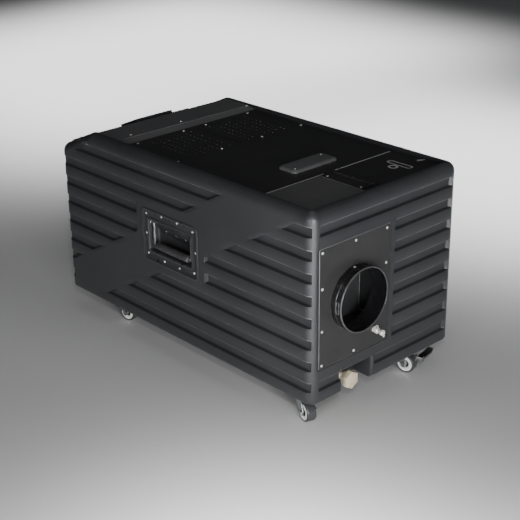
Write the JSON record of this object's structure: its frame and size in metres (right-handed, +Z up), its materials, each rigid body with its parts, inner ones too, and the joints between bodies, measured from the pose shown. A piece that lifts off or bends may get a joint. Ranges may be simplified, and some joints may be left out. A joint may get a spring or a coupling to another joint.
{
  "type": "fog machine",
  "caption": "Wheeled low-fog machine: grooved casing, round outlet, hinged filler lid, spring side handles, swivel casters.",
  "frame": {"origin": "middle of the footprint at floor level, under the casters", "axes": "+Z up; -Y is the front with the fog outlet; +Y runs back along the length; +X is the machine's right seen from the front"},
  "size_m": [0.5042, 0.981, 0.5467],
  "materials": {
    "casing": "textured moulded polyethylene, semi-matte dark grey",
    "satin_metal": "satin black powder coat",
    "lid_metal": "satin dark grey coat",
    "gloss_black": "gloss black",
    "nickel": "bright nickel plate",
    "zinc_steel": "zinc-plated steel",
    "brass": "turned brass",
    "hub_white": "white nylon",
    "tyre_grey": "smoky grey polyurethane",
    "black_rubber": "matte black rubber",
    "black_plastic": "matte black plastic",
    "display_glass": "clear window over a dark display",
    "tank_plastic": "translucent grey polypropylene",
    "alloy": "cast and sheet aluminium",
    "circuit": "green circuit board"
  },
  "bodies": {
    "root": {"casing": "casing", "receiver_cover": "casing", "display_housing": "casing", "base_plate": "satin_metal", "top_panel": "satin_metal", "front_plate": "satin_metal", "outlet_plenum": "satin_metal", "control_panel": "satin_metal", "rear_plate": "satin_metal", "lid_hinge_base": "lid_metal", "outlet_duct": "gloss_black", "hose_connector": "nickel", "handle_dish_left": "zinc_steel", "handle_dish_right": "zinc_steel", "data_socket_in": "zinc_steel", "data_socket_out": "zinc_steel", "ultrasonic_module": "zinc_steel", "fog_pipe": "zinc_steel", "caster_plate_front_left": "zinc_steel", "caster_plate_front_right": "zinc_steel", "caster_plate_rear_left": "zinc_steel", "caster_plate_rear_right": "zinc_steel", "drain_pipe": "brass", "fluid_bottle": "hub_white", "power_inlet": "black_plastic", "mist_fan_frame": "black_plastic", "display_window": "display_glass", "water_tank": "tank_plastic", "heater_block": "alloy", "pump": "alloy", "power_supply": "alloy", "control_board": "circuit"},
    "lid": {"fill_lid": "lid_metal"},
    "drain_cap": {"drain_cap": "brass"},
    "power_switch": {"power_switch": "black_plastic"},
    "level_float": {"level_float": "hub_white"},
    "mist_fan_rotor": {"mist_fan_rotor": "black_plastic"},
    "bottle_cap": {"bottle_cap": "black_plastic"},
    "handle_left": {"handle_bail_left": "nickel", "handle_grip_left": "black_rubber"},
    "handle_right": {"handle_bail_right": "nickel", "handle_grip_right": "black_rubber"},
    "menu_button_1": {"menu_button_1": "black_rubber"},
    "menu_button_2": {"menu_button_2": "black_rubber"},
    "menu_button_3": {"menu_button_3": "black_rubber"},
    "menu_button_4": {"menu_button_4": "black_rubber"},
    "caster_swivel_front_left": {"caster_fork_front_left": "zinc_steel"},
    "caster_wheel_front_left": {"caster_hub_front_left": "hub_white", "caster_tyre_front_left": "tyre_grey"},
    "caster_swivel_front_right": {"caster_fork_front_right": "zinc_steel"},
    "caster_wheel_front_right": {"caster_hub_front_right": "hub_white", "caster_tyre_front_right": "tyre_grey"},
    "brake_front_right": {"brake_pedal_front_right": "black_rubber"},
    "caster_swivel_rear_left": {"caster_fork_rear_left": "zinc_steel"},
    "caster_wheel_rear_left": {"caster_hub_rear_left": "hub_white", "caster_tyre_rear_left": "tyre_grey"},
    "caster_swivel_rear_right": {"caster_fork_rear_right": "zinc_steel"},
    "caster_wheel_rear_right": {"caster_hub_rear_right": "hub_white", "caster_tyre_rear_right": "tyre_grey"},
    "brake_rear_right": {"brake_pedal_rear_right": "black_rubber"}
  },
  "joints": [
    {"name": "lid_hinge", "type": "hinge", "parent": "root", "child": "lid", "pos_m": [-0.004, -0.3495, 0.539], "axis": [0, 1, 0], "range_deg": [0, 105]},
    {"name": "drain_cap_turn", "type": "hinge", "parent": "root", "child": "drain_cap", "pos_m": [-0.112, -0.4515, 0.0895], "axis": [0, -1, 0], "range_deg": [0, 720]},
    {"name": "power_switch_rock", "type": "hinge", "parent": "root", "child": "power_switch", "pos_m": [0, 0.484, 0.32], "axis": [0, 0, -1], "range_deg": [0, 16]},
    {"name": "level_float_rise", "type": "slide", "parent": "root", "child": "level_float", "axis": [0, 0, 1], "range_m": [0, 0.05]},
    {"name": "mist_fan_spin", "type": "hinge", "parent": "root", "child": "mist_fan_rotor", "pos_m": [-0.109, -0.0465, 0.34], "axis": [0, 1, 0], "continuous": true},
    {"name": "bottle_cap_turn", "type": "hinge", "parent": "root", "child": "bottle_cap", "pos_m": [0.135, -0.3095, 0.36], "axis": [0, 0, 1], "range_deg": [0, 540]},
    {"name": "handle_left_lift", "type": "hinge", "parent": "root", "child": "handle_left", "pos_m": [-0.241, 0.0335, 0.366], "axis": [0, 1, 0], "range_deg": [0, 90], "stiffness_Nm_per_rad": 0.12, "springref_deg": -20.05},
    {"name": "handle_right_lift", "type": "hinge", "parent": "root", "child": "handle_right", "pos_m": [0.241, 0.0335, 0.366], "axis": [0, -1, 0], "range_deg": [0, 90], "stiffness_Nm_per_rad": 0.12, "springref_deg": -20.05},
    {"name": "menu_button_1_press", "type": "slide", "parent": "root", "child": "menu_button_1", "axis": [0, -0.3617, -0.9323], "range_m": [0, 0.002], "stiffness_N_per_m": 400},
    {"name": "menu_button_2_press", "type": "slide", "parent": "root", "child": "menu_button_2", "axis": [0, -0.3617, -0.9323], "range_m": [0, 0.002], "stiffness_N_per_m": 400},
    {"name": "menu_button_3_press", "type": "slide", "parent": "root", "child": "menu_button_3", "axis": [0, -0.3617, -0.9323], "range_m": [0, 0.002], "stiffness_N_per_m": 400},
    {"name": "menu_button_4_press", "type": "slide", "parent": "root", "child": "menu_button_4", "axis": [0, -0.3617, -0.9323], "range_m": [0, 0.002], "stiffness_N_per_m": 400},
    {"name": "swivel_front_left", "type": "hinge", "parent": "root", "child": "caster_swivel_front_left", "pos_m": [-0.2015, -0.3835, 0.06], "axis": [0, 0, 1], "continuous": true},
    {"name": "wheel_front_left", "type": "hinge", "parent": "caster_swivel_front_left", "child": "caster_wheel_front_left", "pos_m": [-0.20902, -0.40734, 0.025], "axis": [0.9537, -0.3007, 0], "continuous": true},
    {"name": "swivel_front_right", "type": "hinge", "parent": "root", "child": "caster_swivel_front_right", "pos_m": [0.136, -0.3905, 0.06], "axis": [0, 0, 1], "continuous": true},
    {"name": "wheel_front_right", "type": "hinge", "parent": "caster_swivel_front_right", "child": "caster_wheel_front_right", "pos_m": [0.1412, -0.41495, 0.025], "axis": [0.9781, 0.2079, 0], "continuous": true},
    {"name": "brake_front_right_lift", "type": "hinge", "parent": "caster_swivel_front_right", "child": "brake_front_right", "pos_m": [0.17141, -0.43205, 0.031], "axis": [0.2079, -0.9781, 0], "range_deg": [0, 20]},
    {"name": "swivel_rear_left", "type": "hinge", "parent": "root", "child": "caster_swivel_rear_left", "pos_m": [-0.185, 0.3395, 0.06], "axis": [0, 0, 1], "continuous": true},
    {"name": "wheel_rear_left", "type": "hinge", "parent": "caster_swivel_rear_left", "child": "caster_wheel_rear_left", "pos_m": [-0.18066, 0.31488, 0.025], "axis": [0.9848, 0.1736, 0], "continuous": true},
    {"name": "swivel_rear_right", "type": "hinge", "parent": "root", "child": "caster_swivel_rear_right", "pos_m": [0.136, 0.3395, 0.06], "axis": [0, 0, 1], "continuous": true},
    {"name": "wheel_rear_right", "type": "hinge", "parent": "caster_swivel_rear_right", "child": "caster_wheel_rear_right", "pos_m": [0.13948, 0.31474, 0.025], "axis": [0.9903, 0.1392, 0], "continuous": true},
    {"name": "brake_rear_right_lift", "type": "hinge", "parent": "caster_swivel_rear_right", "child": "brake_rear_right", "pos_m": [0.16843, 0.29559, 0.031], "axis": [0.1392, -0.9903, 0], "range_deg": [0, 20]}
  ]
}
